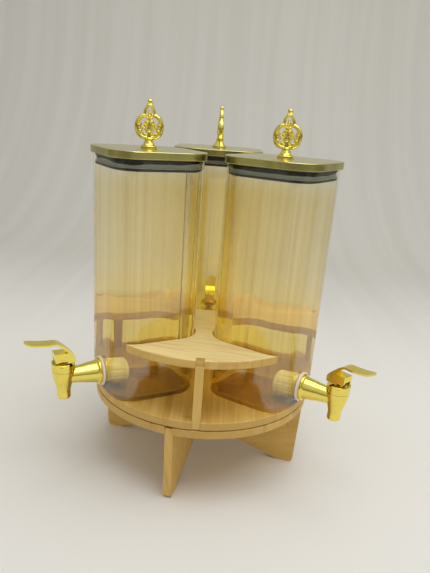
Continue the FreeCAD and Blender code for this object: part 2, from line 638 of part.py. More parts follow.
def tap_nut():
    """Round fluted nut with an inlet in its closed end."""
    end_x = NUT_FACE_X - NUT_LENGTH
    nut = cylinder(NUT_RADIUS, NUT_LENGTH, Vector(end_x, 0, 0), X_AXIS)
    rim = [edge for edge in nut.Edges if len(edge.Vertexes) == 1 and edge.CenterOfMass.x < NUT_FACE_X - 1]
    nut = nut.makeFillet(1.5, rim)
    nut = nut.cut(cylinder(TAIL_RADIUS + NUT_BORE_PLAY, NUT_LENGTH, Vector(TAIL_END_X, 0, 0), X_AXIS))
    nut = nut.cut(cylinder(NUT_INLET_RADIUS, NUT_END, Vector(end_x, 0, 0), X_AXIS))
    for index in range(NUT_FLUTES):
        angle = math.radians(360 * index / NUT_FLUTES)
        reach = NUT_RADIUS + NUT_FLUTE_RADIUS / 2
        centre = Vector(end_x + NUT_END, reach * math.sin(angle), reach * math.cos(angle))
        nut = nut.cut(cylinder(NUT_FLUTE_RADIUS, NUT_LENGTH - 2 * NUT_END, centre, X_AXIS))
    return nut


def valve_stem():
    """Valve head, round stem and the flat tongue that carries the lever's pin."""
    head = cylinder(CHAMBER_RADIUS - VALVE_HEAD_PLAY, VALVE_HEAD, Vector(BODY_X, 0, VALVE_HEAD_Z))
    tongue_z = BONNET_FLOOR_Z + TONGUE_GAP
    rod = cylinder(STEM_RADIUS, tongue_z - VALVE_HEAD_Z, Vector(BODY_X, 0, VALVE_HEAD_Z))
    tongue = box((BODY_X - TONGUE_BACK, -TONGUE_HALF_WIDTH, tongue_z),
                 (BODY_X + TONGUE_FRONT, TONGUE_HALF_WIDTH, PIN_Z + TONGUE_RISE))
    pin_hole = cylinder(PIN_RADIUS, 2 * TONGUE_HALF_WIDTH, Vector(PIN_X, -TONGUE_HALF_WIDTH, PIN_Z), Y_AXIS)
    return head.fuse([rod, tongue]).removeSplitter().cut(pin_hole)


def valve_seat():
    """Rubber disc under the valve head."""
    return cylinder(CHAMBER_RADIUS - SEAT_DISC_PLAY, SEAT_DISC, Vector(BODY_X, 0, SEAT_Z))


def valve_spring():
    low_z = VALVE_HEAD_Z + VALVE_HEAD + SPRING_WIRE
    height = NECK_TOP_Z - SPRING_WIRE - low_z
    helix = Part.makeHelix(height / SPRING_TURNS, height, SPRING_RADIUS)
    wire_end = Part.Wire(Part.makeCircle(SPRING_WIRE, Vector(SPRING_RADIUS, 0, 0), Y_AXIS))
    coil = Part.Wire(helix).makePipeShell([wire_end], True, True)
    coil.translate(Vector(BODY_X, 0, low_z))
    return coil


def lever_pin():
    return cylinder(PIN_RADIUS, 2 * LEVER_HALF_WIDTH, Vector(PIN_X, -LEVER_HALF_WIDTH, PIN_Z), Y_AXIS)


def lever_block():
    """Fork of the lever about its pin: two cheeks under a flat top, with walls before and behind."""
    y = -LEVER_HALF_WIDTH
    centre = Vector(LEVER_FRONT - CHEEK_ROUND, y, LEVER_BOTTOM + CHEEK_ROUND)
    corner = [centre + Vector(CHEEK_ROUND * math.sin(angle), 0, -CHEEK_ROUND * math.cos(angle))
              for angle in (0, math.pi / 4, math.pi / 2)]
    sides = [corner[-1], Vector(LEVER_FRONT, y, LEVER_TOP), Vector(STRAP_TOP[2][0], y, LEVER_TOP),
             Vector(STRAP_TOP[1][0], y, STRAP_TOP[1][1]), Vector(-LEVER_BACK, y, STRAP_TOP[0][1]),
             Vector(-LEVER_BACK, y, LEVER_BOTTOM + CHEEK_CHAMFER),
             Vector(CHEEK_CHAMFER - LEVER_BACK, y, LEVER_BOTTOM), corner[0]]
    outline = Part.Wire([Part.Arc(*corner).toShape()] + Part.makePolygon(sides).Edges)
    return Part.Face(outline).extrude(Vector(0, 2 * LEVER_HALF_WIDTH, 0))


def strap_underside(y):
    """Lower line of the strap, whose thickness falls evenly from the block to the paddle's tip."""
    last = len(STRAP_TOP) - 1
    points = []
    for index, (x, z) in enumerate(STRAP_TOP):
        before, after = STRAP_TOP[max(index - 1, 0)], STRAP_TOP[min(index + 1, last)]
        square = Vector(after[1] - before[1], 0, before[0] - after[0]).normalize()
        thickness = STRAP_THICKNESS + (PADDLE_THICKNESS - STRAP_THICKNESS) * index / last
        points.append(Vector(x, y, z) + square * thickness)
    return points


def lever_strap():
    """Bent strap that rises from the back of the block and ends in the rounded paddle."""
    y = -PADDLE_HALF_WIDTH
    top = [Vector(x, y, z) for x, z in STRAP_TOP]
    under = strap_underside(y)
    under.reverse()
    outline = Part.Wire([spline(top), line(top[-1], under[0]), spline(under), line(under[-1], top[0])])
    strap = Part.Face(outline).extrude(Vector(0, 2 * PADDLE_HALF_WIDTH, 0))
    wide_x = PADDLE_START + PADDLE_WIDENING
    tip_x = STRAP_TOP[-1][0] - PADDLE_HALF_WIDTH
    half_plan = [(-FAR, LEVER_HALF_WIDTH), (PADDLE_START, LEVER_HALF_WIDTH), (wide_x, PADDLE_HALF_WIDTH),
                 (tip_x, PADDLE_HALF_WIDTH)]
    plan = [Vector(x, half, -FAR) for x, half in half_plan]
    plan += [Vector(x, -half, -FAR) for x, half in reversed(half_plan)]
    blank = Part.Face(polyline(plan)).extrude(Vector(0, 0, 2 * FAR))
    tip = cylinder(PADDLE_HALF_WIDTH, 2 * FAR, Vector(tip_x, 0, -FAR))
    return strap.common(blank.fuse(tip))


def tap_lever():
    slot_half = TONGUE_HALF_WIDTH + LEVER_SLOT_PLAY
    slot = box((LEVER_WALL - LEVER_BACK, -slot_half, -FAR),
               (LEVER_FRONT - LEVER_WEB, slot_half, LEVER_TOP - LEVER_ROOF))
    under_web = box((0, -slot_half, -FAR), (FAR, slot_half, LEVER_WEB_RISE))
    pin_hole = cylinder(PIN_RADIUS + PIN_PLAY, 2 * FAR, Vector(0, -FAR, 0), Y_AXIS)
    lever = lever_block().fuse(lever_strap()).removeSplitter()
    lever = lever.cut(slot).cut(under_web).cut(pin_hole).removeSplitter()
    lever.translate(Vector(PIN_X, 0, PIN_Z))
    return lever


# ---- export ----
def stand_nodes():
    nodes = {
        "lower_disc": lower_disc(),
        "leg_board_front": leg_board(LEG_AZIMUTH, True),
        "leg_board_side": leg_board(LEG_AZIMUTH + 90, False),
        "bearing_lower_race": race(LOWER_TOP_Z - RACE_GROOVE_DEPTH),
        "bearing_upper_race": race(UPPER_DISC_Z + RACE_GROOVE_DEPTH - RACE_THICKNESS),
        "bearing_balls": balls(),
        "bearing_cage": ball_cage(),
        "pivot_pin": pivot_pin(),
        "pivot_bushing": pivot_bushing(),
        "upper_disc": upper_disc(),
        "jar_shelf": shelf(),
    }
    for name, azimuth in SLATS.items():
        nodes["slat_" + name] = slat(azimuth)
    return nodes


def jar_nodes():
    jar_pieces = {"glass_jar": glass_jar(), "lid_plate": lid_plate(), "lid_plug": lid_plug(),
                  "lid_seal": lid_seal(), "knob_screw": knob_screw()}
    tap_pieces = {"tap_body": tap_body(), "tap_bonnet": tap_bonnet(), "tap_washers": tap_washers(),
                  "tap_nut": tap_nut(), "valve_seat": valve_seat(), "valve_spring": valve_spring()}
    jar_pieces.update({name: place_tap(shape) for name, shape in tap_pieces.items()})
    nodes = {name + "_" + jar: place_jar(piece, jar)
             for name, piece in jar_pieces.items()
             for jar in JARS}
    knob = lid_knob()
    turning_pieces = {"tap_lever": tap_lever(), "lever_pin": lever_pin(), "valve_stem": valve_stem()}
    for jar in JARS:
        nodes["lid_knob_" + jar] = place_jar(turned(knob, ORIGIN, KNOBS[jar] - JARS[jar]), jar)
        for name, piece in turning_pieces.items():
            turned_piece = turned(piece, Vector(BODY_X, 0, 0), LEVER_TURNS[jar])
            nodes[name + "_" + jar] = place_jar(place_tap(turned_piece), jar)
    return nodes


def main():
    os.makedirs("parts", exist_ok=True)
    nodes = stand_nodes()
    nodes.update(jar_nodes())
    for name, shape in nodes.items():
        if not shape.isValid() or shape.Volume <= 0:
            raise RuntimeError("bad solid: " + name)
        shape.exportStep("parts/" + name + ".step")
        print(name, len(shape.Solids), round(shape.Volume, 1))


main()
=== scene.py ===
"""Cocktail dispenser: three amber glass jars with lever taps on a bamboo turntable.

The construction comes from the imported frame. This script gives its parts their finishes, models the jars and
the cast knobs in detail, and sets the stage, the lamp and the camera.
"""
import json
import math

import bmesh
import bpy
from bpy.props import FloatProperty, FloatVectorProperty, PointerProperty
from mathutils import Euler, Matrix, Vector


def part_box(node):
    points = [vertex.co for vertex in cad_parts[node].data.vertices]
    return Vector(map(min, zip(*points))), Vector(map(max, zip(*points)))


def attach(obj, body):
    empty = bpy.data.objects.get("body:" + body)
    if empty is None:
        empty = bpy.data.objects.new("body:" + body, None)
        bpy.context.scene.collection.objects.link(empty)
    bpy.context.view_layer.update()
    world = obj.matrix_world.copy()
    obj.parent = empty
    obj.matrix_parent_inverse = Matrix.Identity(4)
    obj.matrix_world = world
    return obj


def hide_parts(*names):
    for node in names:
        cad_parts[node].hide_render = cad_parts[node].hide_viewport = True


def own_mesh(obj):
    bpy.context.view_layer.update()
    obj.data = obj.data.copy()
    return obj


bl_info = {
    "name": "Cocktail dispenser",
    "version": (1, 0, 0),
    "blender": (4, 5, 0),
    "location": "3D View > Sidebar > Dispenser",
    "description": "Finishes and details of a three-jar cocktail dispenser",
    "category": "Object",
}

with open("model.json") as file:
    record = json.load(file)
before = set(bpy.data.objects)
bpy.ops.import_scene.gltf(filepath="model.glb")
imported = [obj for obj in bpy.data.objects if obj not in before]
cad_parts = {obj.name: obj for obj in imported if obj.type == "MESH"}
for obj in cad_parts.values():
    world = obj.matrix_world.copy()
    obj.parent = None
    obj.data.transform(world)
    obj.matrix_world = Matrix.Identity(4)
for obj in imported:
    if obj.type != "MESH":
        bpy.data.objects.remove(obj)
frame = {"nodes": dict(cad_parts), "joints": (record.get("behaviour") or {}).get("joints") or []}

MM = 0.001
MERGE = 1e-7                       # vertices nearer than this are one

# Directions, in degrees anticlockwise from +X as seen from above.
JAR_AZIMUTHS = {"left": 210.0, "right": 330.0, "back": 90.0}
SIDES = tuple(JAR_AZIMUTHS)
KNOB_AZIMUTHS = {"left": -82.0, "right": -96.0, "back": 3.0}     # where each knob's face points
LEG_AZIMUTHS = {"leg_board_front": 77.3, "leg_board_side": 167.3}

# The turn about Z, in degrees, that brings the grain of each flat board to X.
TURNTABLE_GRAIN = -90
BASE_GRAIN = -84
SHELF_GRAIN = 8

# The jars.
JAR_CORNER = 24.3 * MM
JAR_WALL = 3.0 * MM
JAR_FLOOR = 4.0 * MM
FOOT_ROUND = 2.5 * MM
FLOOR_ROUND = 1.0 * MM
RIM_ROUND = 0.9 * MM
ROUND_MARGIN = 0.4 * MM            # from each rounding to the clean edge loop next to it
TAIL_HOLE = 8.5 * MM               # radius of the hole for the tap's tail
TAP_RISE = 18.0 * MM               # that hole's height above the jar's underside

# The knobs' bars: a row of (x, z, radius) points in millimetres.
RING = ((1.0, 9.6, 1.5), (5.2, 9.8, 1.9), (9.4, 12.6, 2.1), (11.1, 17.6, 2.1), (10.7, 22.4, 2.1),
        (8.3, 26.2, 2.0), (4.8, 28.2, 1.7), (1.6, 27.4, 1.2))
SCROLL = ((9.4, 22.4, 1.3), (7.7, 20.2, 1.3), (6.9, 17.4, 1.2), (7.3, 15.2, 1.1), (8.8, 14.4, 1.0))
FOOT_SCROLL = ((2.4, 11.4, 1.3), (4.5, 12.9, 1.2), (6.6, 12.8, 0.9))
CROWN = ((2.2, 28.0, 1.1), (4.0, 30.0, 1.5), (3.9, 32.4, 1.4), (2.6, 35.2, 1.4), (1.0, 37.6, 1.3))
CROWN_BUD = ((0.0, 30.2, 1.1), (0.3, 33.0, 0.8))
NECK = ((0.0, 8.8, 2.6), (0.0, 14.4, 2.4))
# Its turned foot as (radius, height) and the beads along the ring as (x, z, size).
FOOT = ((0.0, 0.0), (7.6, 0.0), (7.6, 1.9), (7.2, 2.5), (6.4, 2.8), (5.3, 3.8), (4.4, 5.6), (3.6, 7.4),
        (4.2, 8.0), (4.2, 8.8), (2.8, 9.4), (0.0, 9.4))
BEADS = ((7.6, 10.5, 1.8), (10.4, 14.4, 1.9), (11.1, 18.4, 1.7), (10.8, 21.6, 1.8), (9.2, 25.2, 1.9),
         (6.3, 27.8, 1.8), (8.5, 15.2, 1.5), (6.9, 19.0, 1.1))
# The shell's ribs fan out from a point at this height, each at its own angle in degrees from upright.
SHELL_HEIGHT = 13.4
SHELL_RIBS = (-48.0, -32.0, -16.0, 0.0, 16.0, 32.0, 48.0)
# The flower: the height of its middle, its petals and how far they stand from the middle.
FLOWER_HEIGHT = 28.0
PETALS = 5
PETAL_REACH = 2.5

# The sheet that is floor and wall, in metres: where it starts and bends up, and its height and half width.
SWEEP_START = -3.0
SWEEP_BEND = 0.85
SWEEP_RADIUS = 0.9
SWEEP_TOP = 3.2
SWEEP_HALF = 3.5
SWEEP_STEPS = 24

LAMP_PLACE = (0.45, -0.25, 2.1)
LAMP_AIM = (0.0, 0.05, 0.0)
LAMP_SIZE = 1.9

# The camera: its place in metres and its angles in degrees.
EYE = (0.0110, -0.56207, 0.3589)
EYE_TURN = 1.168
EYE_DIP = 20.672
EYE_ROLL = 4.043
LENS = 34.467
SHIFT = (0.01745, 0.0672)


# -------------------------------------------------------------------------- colours and shader maths


def paint(red, green, blue):
    """A display colour, each part from 0 to 255, as the linear colour that shaders use."""

    def linear(part):
        share = part / 255
        return share / 12.92 if share <= 0.04045 else ((share + 0.055) / 1.055) ** 2.4

    return (linear(red), linear(green), linear(blue), 1.0)


def darker(colour, share):
    """The colour with only that share of its light."""
    return [part * share for part in colour[:3]] + [1.0]


class Value:
    """A node's output. Python's operators on it add Math nodes."""

    def __init__(self, finish, socket):
        self.finish = finish
        self.socket = socket

    def also(self, output):
        """Another output of the same node."""
        return Value(self.finish, self.socket.node.outputs[output])

    def maths(self, operation, *numbers):
        return self.finish.node("Math", {"operation": operation}, dict(enumerate(numbers)))

    def __add__(self, other):
        return self.maths("ADD", self, other)

    def __radd__(self, other):
        return self.maths("ADD", other, self)

    def __sub__(self, other):
        return self.maths("SUBTRACT", self, other)

    def __rsub__(self, other):
        return self.maths("SUBTRACT", other, self)

    def __mul__(self, other):
        return self.maths("MULTIPLY", self, other)

    def __rmul__(self, other):
        return self.maths("MULTIPLY", other, self)

    def __truediv__(self, other):
        return self.maths("DIVIDE", self, other)

    def __pow__(self, other):
        return self.maths("POWER", self, other)

    def __abs__(self):
        return self.maths("ABSOLUTE", self)

    def floor(self):
        return self.maths("FLOOR", self)

    def fract(self):
        return self.maths("FRACT", self)

    def step(self, low, high):
        """0 below low, 1 above high, smooth between them. low may be the larger one."""
        return self.finish.node(
            "MapRange", {"interpolation_type": "SMOOTHSTEP"},
            {"Value": self, "From Min": low, "From Max": high},
        )


class Finish:
    """The nodes of one material, or of the world, built one by one."""

    def __init__(self, owner):
        owner.use_nodes = True
        self.owner = owner
        self.tree = owner.node_tree
        self.tree.nodes.clear()

    @classmethod
    def named(cls, name):
        """A new material's finish."""
        return cls(bpy.data.materials.new(name))

    def node(self, kind, settings=None, sockets=None, output=0):
        """Adds a node of that type. Its settings go in first, then the values or links of its sockets."""
        made = self.tree.nodes.new("ShaderNode" + kind)
        for key, value in (settings or {}).items():
            if key == "stops":
                self.place_stops(made.color_ramp, value)
            else:
                setattr(made, key, value)
        for key, value in (sockets or {}).items():
            if isinstance(value, Value):
                self.tree.links.new(value.socket, made.inputs[key])
            else:
                made.inputs[key].default_value = value
        return Value(self, made.outputs[output])

    @staticmethod
    def place_stops(ramp, stops):
        while len(ramp.elements) < len(stops):
            ramp.elements.new(1.0)
        for element, (place, colour) in zip(ramp.elements, stops):
            element.position = place
            element.color = colour

    def position(self):
        return self.node("TexCoord", output="Object")

    def axes(self, vector):
        """The vector's X, Y and Z as values."""
        parts = self.node("SeparateXYZ", None, {0: vector})
        return [parts.also(axis) for axis in "XYZ"]

    def facing_up(self):
        """How far the surface faces up: 1 on top, 0 on upright faces and -1 below."""
        return self.axes(self.node("TexCoord", output="Normal"))[2]

    def turned(self, angles, scale=(1.0, 1.0, 1.0)):
        """Object coordinates turned by angles in degrees, then stretched along each axis."""
        turn = self.node(
            "Mapping", {"vector_type": "POINT"},
            {"Vector": self.position(), "Rotation": Euler([math.radians(a) for a in angles])},
        )
        return self.node("Mapping", {"vector_type": "POINT"}, {"Vector": turn, "Scale": scale})

    def noise(self, vector, scale, detail=2.0, roughness=0.5, distortion=0.0):
        return self.node("TexNoise", {"noise_dimensions": "3D"}, {
            "Vector": vector, "Scale": scale, "Detail": detail,
            "Roughness": roughness, "Distortion": distortion,
        })

    def stretched(self, vector, scale):
        return self.node("VectorMath", {"operation": "MULTIPLY"}, {0: vector, 1: scale})

    def mix(self, factor, first, second):
        """first where factor is 0 and second where it is 1, as colours."""
        return self.node("Mix", {"data_type": "RGBA"}, {0: factor, 6: first, 7: second}, 2)

    def ramp(self, factor, stops):
        return self.node("ValToRGB", {"stops": stops}, {0: factor})

    def bump(self, height, strength, distance):
        return self.node("Bump", None, {"Strength": strength, "Distance": distance, "Height": height})

    def surface(self, **sockets):
        """The Principled shader. Socket names are written with underscores."""
        named = {key.replace("_", " "): value for key, value in sockets.items()}
        return self.node("BsdfPrincipled", None, named)

    def done(self, shader, kind="Material"):
        """Links the shader to the output of a Material or a World, and returns that."""
        end = self.tree.nodes.new("ShaderNodeOutput" + kind)
        self.tree.links.new(shader.socket, end.inputs["Surface"])
        return self.owner


# ------------------------------------------------------------------------------------------ finishes


def bamboo(name, colours, turn, strip, pale=0.0):
    """Laminated bamboo. turn brings the grain to X and the strips' thickness to Y. strip is their width in
    metres, and pale is how far the upper faces are painted lighter, as painted light on the tops."""
    finish = Finish.named(name)
    place = finish.turned(turn)
    along, across = finish.axes(place)[:2]
    lane = across / strip
    tone = finish.node("TexWhiteNoise", {"noise_dimensions": "1D"}, {"W": lane.floor()})
    wander = finish.noise(finish.stretched(place, (3.0, 90.0, 60.0)), 1.0, 3.0, 0.55)
    fibre = finish.noise(finish.stretched(place, (14.0, 1500.0, 420.0)), 1.0, 3.0, 0.6)
    stroke = finish.noise(finish.stretched(place, (20.0, 360.0, 160.0)), 1.0, 2.0, 0.5).step(0.36, 0.66)
    hair = finish.noise(finish.stretched(place, (60.0, 5200.0, 1500.0)), 1.0, 2.0, 0.6)
    knot = abs((along / 0.31 + tone * 5.7).fract() - 0.5).step(0.006, 0.0) * 0.22
    seam = abs(lane.fract() - 0.5).step(0.47, 0.5) * 0.12
    shade = tone * 0.18 + wander * 0.50 + stroke * 0.13 + fibre * 0.34 + hair * 0.12 - knot - seam - 0.10
    facing = finish.node("Mapping", {"vector_type": "NORMAL"}, {
        "Vector": finish.node("TexCoord", output="Normal"),
        "Rotation": Euler([math.radians(a) for a in turn]),
    })
    end_grain = abs(finish.axes(facing)[0]).step(0.55, 0.95)
    pores = finish.noise(finish.stretched(place, (900.0, 1300.0, 1300.0)), 1.0, 2.0, 0.7).step(0.46, 0.62)
    body = finish.ramp(shade, [(0.12, colours[0]), (0.48, colours[1]), (0.85, colours[2])])
    cut = finish.mix(pores * 0.45, colours[3], colours[0])
    colour = finish.mix(end_grain * 0.65, body, cut)
    up = finish.facing_up()
    colour = finish.mix(abs(up).step(0.7, 0.3) * 0.45, colour, colours[1])
    # Painted light: the upper faces are painted lighter, standing in for the stronger light on the tops.
    top_painted_light = up.step(0.6, 0.95) * (0.35 + stroke * 0.45 + fibre * 0.9) * pale
    colour = finish.mix(top_painted_light, colour, paint(255, 236, 178))
    height = fibre * 0.5 + hair * 0.3 - seam - knot * 0.4 - pores * end_grain * 0.5
    return finish.done(finish.surface(
        Base_Color=colour,
        Roughness=0.44 + fibre * 0.14,
        Coat_Weight=0.12,
        Coat_Roughness=0.35,
        Normal=finish.bump(height, 0.25, 0.00025),
    ))


def amber_glass(name, props):
    """Thin amber glass with a pearly coat on both faces. The lamp's light passes it, tinted."""
    finish = Finish.named(name)
    place = finish.position()
    across, depth, height = finish.axes(place)
    # Painted shade: the tint is deeper on the faces towards the turntable's middle, where the jars face each
    # other.
    between_jars_shade = ((across * across + depth * depth) ** 0.5).step(props.shade_fade_radius, props.shade_full_radius)
    rim = height.step(props.rim_bottom, props.rim_top)
    waves = finish.noise(finish.stretched(place, (26.0, 26.0, 3.5)), 1.0, 1.0, 0.4)
    lines = finish.noise(finish.stretched(place, (230.0, 230.0, 1.2)), 1.0, 2.0, 0.5)
    hairs = finish.noise(finish.stretched(place, (620.0, 620.0, 2.0)), 1.0, 1.0, 0.5)
    veil = finish.noise(finish.stretched(place, (34.0, 34.0, 2.2)), 1.0, 2.0, 0.5, 0.4)
    # The low tint too is deeper towards the turntable's middle: painted shade.
    low = height.step(props.low_top, props.low_bottom) * (0.6 + between_jars_shade * 0.4)
    body = finish.mix(low, tuple(props.tint), tuple(props.low_tint))
    body = finish.mix(between_jars_shade * (0.45 + veil * 0.7), body, tuple(props.gap_shade_tint))
    streaks = (lines.step(0.42, 0.66) * 0.7 + hairs.step(0.45, 0.65) * 0.3) * veil.step(0.36, 0.58)
    body = finish.mix(streaks * props.streaking, body, tuple(props.streak))
    body = finish.mix(rim * 0.8, body, (1.0, 0.99, 0.95, 1.0))
    glass = finish.surface(
        Base_Color=body,
        Roughness=0.0,
        IOR=props.index,
        Transmission_Weight=1.0,
        Specular_IOR_Level=1.0,
        Specular_Tint=props.sheen,
        Coat_Weight=(1.0 - rim * 0.8) * props.lustre,
        Coat_IOR=props.coat_index,
        Coat_Roughness=0.03,
        Normal=finish.bump(waves + lines * 0.05 + hairs * 0.01, 0.14, 0.004),
    )
    clear = finish.node("BsdfTransparent", None, {"Color": props.shadow_tint})
    shadow = finish.node("LightPath", output="Is Shadow Ray")
    return finish.done(finish.node("MixShader", None, {0: shadow, 1: glass, 2: clear}))


def polished_gold(name, colour, roughness, wear_scale, dip_shade=0.0):
    """Plated metal: small waves in the casting and a faint haze. The dips of the waves are painted darker, as
    painted shade in the crevices of a casting.
    """
    finish = Finish.named(name)
    place = finish.position()
    cast = finish.noise(place, wear_scale, 2.0, 0.5)
    haze = finish.noise(place, wear_scale * 3.1, 3.0, 0.6)
    tone = finish.mix(haze.step(0.35, 0.75) * 0.35, colour, darker(colour, 0.78))
    # Painted shade: the dips of the casting's waves are painted darker.
    tone = finish.mix(cast.step(0.44, 0.34) * dip_shade, tone, darker(colour, 0.42))
    return finish.done(finish.surface(
        Base_Color=tone,
        Metallic=1.0,
        Roughness=roughness + haze * 0.10,
        Normal=finish.bump(cast, 0.18, 0.0004),
    ))


def brushed_metal(name, colour, azimuth, roughness):
    """Metal brushed along azimuth in degrees. Its upright faces are painted darker in blotches and its tops
    paler: painted reflections.
    """
    finish = Finish.named(name)
    place = finish.turned((0.0, 0.0, -azimuth))
    lines = finish.noise(finish.stretched(place, (8.0, 2600.0, 2600.0)), 1.0, 3.0, 0.65)
    drift = finish.noise(finish.stretched(place, (6.0, 60.0, 60.0)), 1.0, 2.0, 0.5)
    tone = finish.mix(lines * 0.5 + drift * 0.3, colour, darker(colour, 0.62))
    up = finish.facing_up()
    # Painted reflections: dark blotches on the upright faces.
    reflection_blotches = finish.noise(finish.stretched(finish.position(), (46.0, 46.0, 4.0)), 1.0, 2.0, 0.5, 0.3)
    edges = up.step(0.5, 0.1) * reflection_blotches.step(0.42, 0.60) * 0.6
    tone = finish.mix(edges, tone, darker(colour, 0.45))
    # Painted reflection: the tops are painted paler, as if they mirrored the bright backdrop.
    tone = finish.mix(up.step(0.6, 0.95) * 0.30, tone, paint(236, 230, 206))
    return finish.done(finish.surface(
        Base_Color=tone,
        Metallic=1.0,
        Roughness=roughness + lines * 0.16,
        Normal=finish.bump(lines, 0.12, 0.00012),
    ))


def moulded(name, colour, roughness, clear=0.0):
    """A moulded rubber or plastic with a fine skin. clear is how much light passes through it."""
    finish = Finish.named(name)
    place = finish.position()
    skin = finish.noise(place, 900.0, 3.0, 0.55)
    cloud = finish.noise(place, 72.0, 2.0, 0.5)
    tone = finish.mix(cloud * 0.4, colour, darker(colour, 0.8))
    return finish.done(finish.surface(
        Base_Color=tone,
        Roughness=roughness + skin * 0.12,
        IOR=1.46,
        Transmission_Weight=clear,
        Normal=finish.bump(skin, 0.1, 0.0001),
    ))


def sealing_rubber(name, low, high, props):
    """Dark silicone with two lips. The band between them is stretched thin and looks paler. low and high are
    the heights of the seal's ends."""
    finish = Finish.named(name)
    place = finish.position()
    height = (finish.axes(place)[2] - low) / (high - low)
    wave = finish.noise(finish.stretched(place, (34.0, 34.0, 1.0)), 1.0, 1.0, 0.5) * 0.5
    skin = finish.noise(place, 700.0, 3.0, 0.55)
    band = height.step(0.15, 0.21) * (height + wave).step(0.84, 0.74)
    tone = finish.mix(band, tuple(props.seal), tuple(props.band))
    return finish.done(finish.surface(
        Base_Color=tone,
        Roughness=0.14 + skin * 0.12,
        Normal=finish.bump(skin, 0.1, 0.0001),
    ))


def dress(node, material):
    """Gives a node of the frame its material in every slot."""
    part = frame["nodes"][node]
    part.data.materials.clear()
    part.data.materials.append(material)


# -------------------------------------------------------------------------------------------- shapes


def crisp(mesh, degrees=35.0):
    """Smooth shading, broken at edges sharper than the angle."""
    bm = bmesh.new()
    bm.from_mesh(mesh)
    bmesh.ops.recalc_face_normals(bm, faces=bm.faces)
    for face in bm.faces:
        face.smooth = True
    for edge in bm.edges:
        edge.smooth = edge.is_manifold and edge.calc_face_angle() < math.radians(degrees)
    bm.to_mesh(mesh)
    bm.free()


def as_object(context, name, bm, material):
    """Makes the shape an object at the origin, with its faces outwards. Uses the bmesh up."""
    bmesh.ops.recalc_face_normals(bm, faces=bm.faces)
    mesh = bpy.data.meshes.new(name)
    bm.to_mesh(mesh)
    bm.free()
    crisp(mesh)
    mesh.materials.append(material)
    return linked(context, name, mesh)


def linked(context, name, data):
    """A new object of the scene that holds the data."""
    made = bpy.data.objects.new(name, data)
    context.scene.collection.objects.link(made)
    return made


def modified(context, made, kind, **settings):
    """Applies one modifier to an object's mesh."""
    modifier = made.modifiers.new(kind.lower(), kind)
    for key, value in settings.items():
        setattr(modifier, key, value)
    context.view_layer.update()
    ready = made.evaluated_get(context.evaluated_depsgraph_get())
    mesh = bpy.data.meshes.new_from_object(ready)
    made.modifiers.clear()
    made.data = mesh


def jar_axis(side):
    """Where a jar's axis meets the turntable. The lid is centred on it."""
    low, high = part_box("lid_plate_" + side)
    return Vector(((low.x + high.x) / 2, (low.y + high.y) / 2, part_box("upper_disc")[1].z))


def copied(context, name, model, place, body, node):
    """A copy of a model, set down in the frame in place of a node and carried by that body."""
    mesh = model.data.copy()
    mesh.name = name
    mesh.transform(place)
    made = linked(context, name, mesh)
    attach(made, body)
    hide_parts(node)
    return made


def drawn_up(bm, face, height):
    """Extrudes one face along Z. Returns the moved face."""
    made = bmesh.ops.extrude_face_region(bm, geom=[face])["geom"]
    moved = [part for part in made if isinstance(part, bmesh.types.BMVert)]
    bmesh.ops.translate(bm, verts=moved, vec=(0.0, 0.0, height))
    return next(part for part in made if isinstance(part, bmesh.types.BMFace))


def jar_model(context, material):
    """One jar about its own axis: a rounded square drawn up, hollowed, softened at its edges and drilled."""
    low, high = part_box("glass_jar_back")
    half, height = (high.x - low.x) / 2, high.z - low.z
    bm = bmesh.new()
    bmesh.ops.create_grid(bm, x_segments=1, y_segments=1, size=half)
    bmesh.ops.bevel(bm, geom=bm.verts[:], offset=JAR_CORNER, offset_type="OFFSET", segments=32, profile=0.5,
                    affect="VERTICES", material=-1)
    top = drawn_up(bm, bm.faces[:][0], height)
    bmesh.ops.inset_individual(bm, faces=[top], thickness=JAR_WALL, use_even_offset=True)
    drawn_up(bm, top, JAR_FLOOR - height)
    for level, size, steps in ((0.0, FOOT_ROUND, 8), (JAR_FLOOR, FLOOR_ROUND, 5), (height, RIM_ROUND, 6)):
        bm.normal_update()
        rim = [edge for edge in bm.edges
               if all(abs(vert.co.z - level) < 0.1 * MM for vert in edge.verts)
               and edge.calc_face_angle(0.0) > 1.0]
        bmesh.ops.bevel(bm, geom=rim, offset=size, offset_type="OFFSET", segments=steps, profile=0.5,
                        affect="EDGES", material=-1)
    for level in (FOOT_ROUND + ROUND_MARGIN, JAR_FLOOR + FLOOR_ROUND + ROUND_MARGIN,
                  height - RIM_ROUND - ROUND_MARGIN):
        bmesh.ops.bisect_plane(bm, geom=bm.verts[:] + bm.edges[:] + bm.faces[:], dist=1e-6,
                               plane_co=(0.0, 0.0, level), plane_no=(0.0, 0.0, 1.0))
    jar = as_object(context, "jar_model", bm, material)
    drill = bmesh.new()
    aim = Matrix.Translation((half, 0.0, TAP_RISE)) @ Matrix.Rotation(math.pi / 2, 4, "Y")
    bmesh.ops.create_cone(drill, cap_ends=True, segments=64, radius1=TAIL_HOLE, radius2=TAIL_HOLE,
                          depth=4 * JAR_WALL, matrix=aim)
    cutter = as_object(context, "jar_drill", drill, material)
    modified(context, jar, "BOOLEAN", operation="DIFFERENCE", solver="EXACT", object=cutter)
    bpy.data.objects.remove(cutter)
    crisp(jar.data)
    return jar


